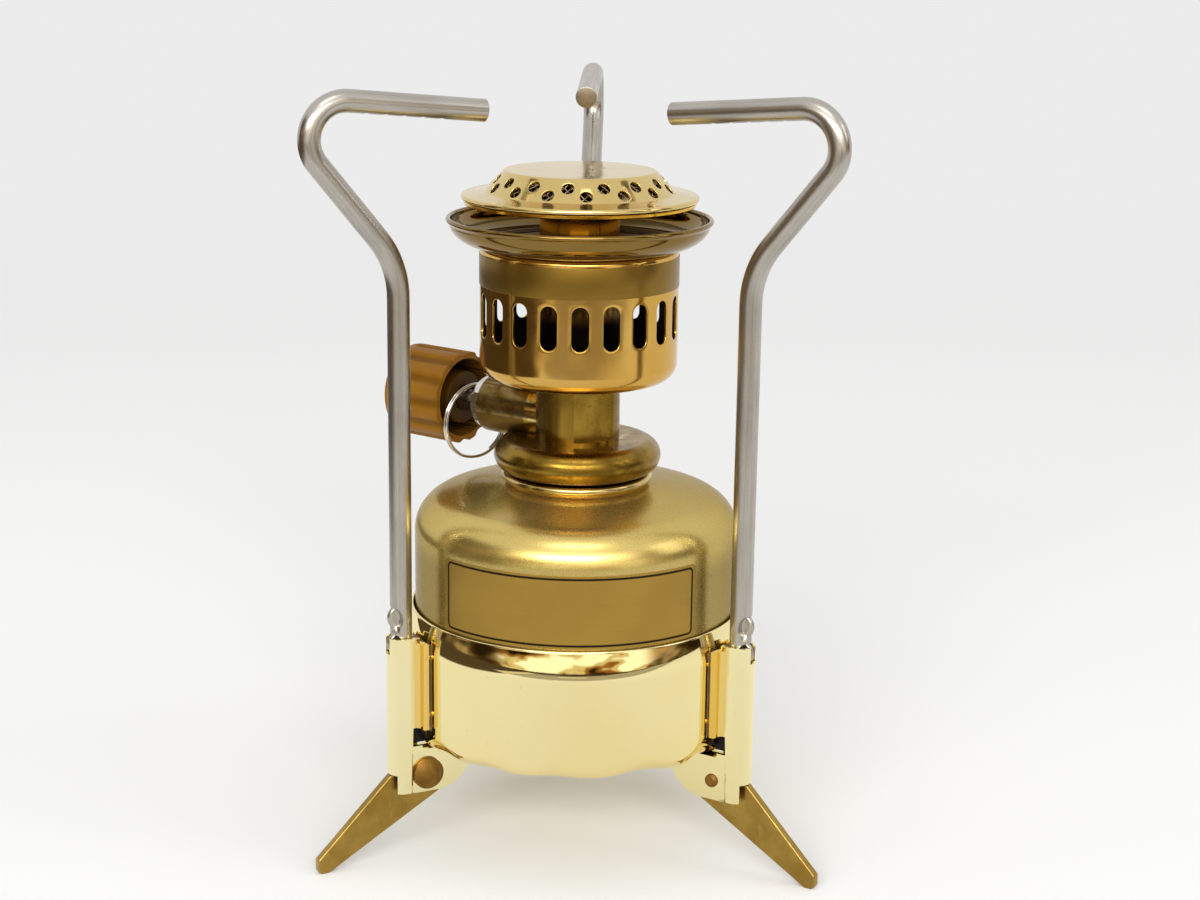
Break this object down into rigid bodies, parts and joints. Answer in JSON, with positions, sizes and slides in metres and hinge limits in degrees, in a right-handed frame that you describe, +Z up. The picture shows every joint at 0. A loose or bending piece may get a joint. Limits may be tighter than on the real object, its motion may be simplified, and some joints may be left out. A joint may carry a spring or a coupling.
{
  "type": "camping gas burner",
  "caption": "Camping gas burner: a gas cartridge in a low folding-leg stand, a screw-on burner with a side valve knob, and lift-out bent rod pot supports.",
  "frame": {"origin": "on the ground, on the axis of the cartridge and burner", "axes": "+Z up; +Y towards the rear leg and pot support; the front label faces -Y"},
  "size_m": [0.1394, 0.1276, 0.2123],
  "materials": {
    "plated_gold": "polished gold-coloured plating",
    "bronze": "satin bronze-brown plating, rubbed",
    "rod_steel": "drawn stainless rod",
    "gold_lacquer": "fine-flake gold lacquer",
    "collar_brass": "bright brass",
    "label": "satin bronze foil with a fine dark border",
    "aged_brass": "turned brass with tarnish",
    "nylon": "moulded nylon",
    "seal_rubber": "black nitrile rubber",
    "bright_steel": "bright steel wire and turned steel",
    "knob_plastic": "caramel-brown moulded plastic"
  },
  "bodies": {
    "stand": {"stand_cup": "plated_gold", "bracket_rear": "plated_gold", "bracket_left": "plated_gold", "bracket_right": "plated_gold", "leg_rivet_rear": "bronze", "leg_rivet_left": "bronze", "leg_rivet_right": "bronze"},
    "cartridge": {"cartridge_shell": "gold_lacquer", "cartridge_base": "gold_lacquer", "cartridge_collar": "collar_brass", "cartridge_label": "label", "outlet_housing": "nylon", "outlet_spring": "bright_steel", "outlet_gasket": "seal_rubber"},
    "outlet_pin": {"outlet_stem": "aged_brass"},
    "burner": {"valve_body": "aged_brass", "valve_seal": "seal_rubber", "probe_pin": "bright_steel", "gland_nut": "bright_steel", "jet": "collar_brass", "jet_filter": "bright_steel", "air_cup": "plated_gold", "air_cup_nut": "aged_brass", "air_cup_band": "label", "mixing_tube": "collar_brass", "flame_dish": "plated_gold", "head_base": "plated_gold", "gauze": "bright_steel", "burner_cap": "plated_gold"},
    "spindle_seal": {"spindle_o_ring": "seal_rubber"},
    "control": {"spindle": "bright_steel", "knob": "knob_plastic"},
    "ring": {"hang_ring": "bright_steel"},
    "rear_leg": {"leg_rear": "bronze"},
    "rear_support": {"pot_support_rear": "rod_steel"},
    "left_leg": {"leg_left": "bronze"},
    "left_support": {"pot_support_left": "rod_steel"},
    "right_leg": {"leg_right": "bronze"},
    "right_support": {"pot_support_right": "rod_steel"}
  },
  "joints": [
    {"name": "leg_fold_rear", "type": "hinge", "parent": "stand", "child": "rear_leg", "pos_m": [0, 0.0466, 0.0248], "axis": [-1, 0, 0], "range_deg": [0, 140]},
    {"name": "leg_fold_left", "type": "hinge", "parent": "stand", "child": "left_leg", "pos_m": [-0.04036, -0.0233, 0.0248], "axis": [0.5, -0.866, 0], "range_deg": [0, 140]},
    {"name": "leg_fold_right", "type": "hinge", "parent": "stand", "child": "right_leg", "pos_m": [0.04036, -0.0233, 0.0248], "axis": [0.5, 0.866, 0], "range_deg": [0, 140]},
    {"name": "pot_support_lift_rear", "type": "slide", "parent": "stand", "child": "rear_support", "axis": [0, 0, 1], "range_m": [0, 0.045]},
    {"name": "pot_support_lift_left", "type": "slide", "parent": "stand", "child": "left_support", "axis": [0, 0, 1], "range_m": [0, 0.045]},
    {"name": "pot_support_lift_right", "type": "slide", "parent": "stand", "child": "right_support", "axis": [0, 0, 1], "range_m": [0, 0.045]},
    {"name": "cartridge_lift", "type": "slide", "parent": "stand", "child": "cartridge", "axis": [0, 0, 1], "range_m": [0, 0.012]},
    {"name": "outlet_pin_press", "type": "slide", "parent": "cartridge", "child": "outlet_pin", "axis": [0, 0, -1], "range_m": [0, 0.001], "stiffness_N_per_m": 200, "springref_m": -0.003, "deforming": ["outlet_spring"]},
    {"name": "burner_unscrew", "type": "hinge", "parent": "cartridge", "child": "burner", "pos_m": [0, 0, 0.1059], "axis": [0, 0, 1], "range_deg": [0, 42]},
    {"name": "spindle_travel", "type": "slide", "parent": "burner", "child": "spindle_seal", "axis": [-0.832, 0.5548, 0], "range_m": [0, 0.0012]},
    {"name": "knob_turn", "type": "hinge", "parent": "spindle_seal", "child": "control", "pos_m": [-0.03744, 0.02497, 0.1204], "axis": [-0.832, 0.5548, 0], "range_deg": [0, 540]},
    {"name": "hang_ring_swing", "type": "hinge", "parent": "burner", "child": "ring", "pos_m": [-0.03024, 0.02017, 0.1204], "axis": [-0.832, 0.5548, 0], "range_deg": [-90, 90]}
  ],
  "couplings": [
    {"joint": "knob_turn", "follows": "spindle_travel", "rad_per_m": 7853.9}
  ]
}
